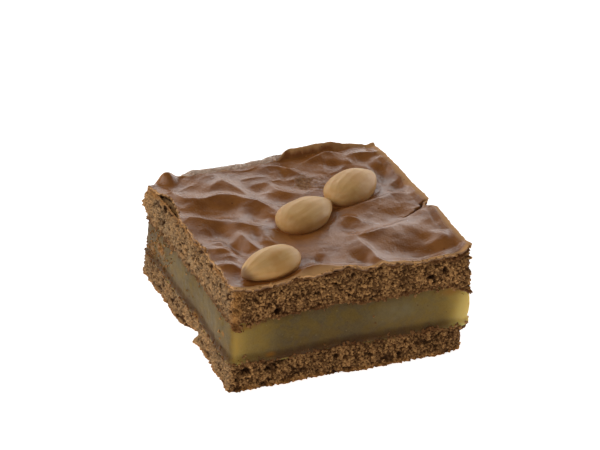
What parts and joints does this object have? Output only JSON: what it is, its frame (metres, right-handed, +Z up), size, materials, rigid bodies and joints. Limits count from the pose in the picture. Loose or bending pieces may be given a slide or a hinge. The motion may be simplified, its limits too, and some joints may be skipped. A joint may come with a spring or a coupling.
{
  "type": "filled speculaas",
  "caption": "Square cut of filled speculaas: crumbly spiced layers around almond paste, with blanched almonds set in a wrinkled, glazed crust on top.",
  "frame": {"origin": "under the middle of the base, at the lowest point of the piece", "axes": "+Z up out of the glazed crust, -Y out of the front cut face, +X to the right along that face"},
  "size_m": [0.0796, 0.0752, 0.0394],
  "materials": {
    "crumb": "dry, open, spiced crumb",
    "paste": "moist, dense, slightly see-through almond paste",
    "crust": "egg-glazed, satin, wrinkled crust",
    "almond": "blanched and toasted almond, satin"
  },
  "bodies": {
    "root": {"bottom_layer": "crumb", "almond_paste": "paste", "top_layer": "crust", "almond_front": "almond", "almond_middle": "almond", "almond_back": "almond"}
  },
  "joints": []
}
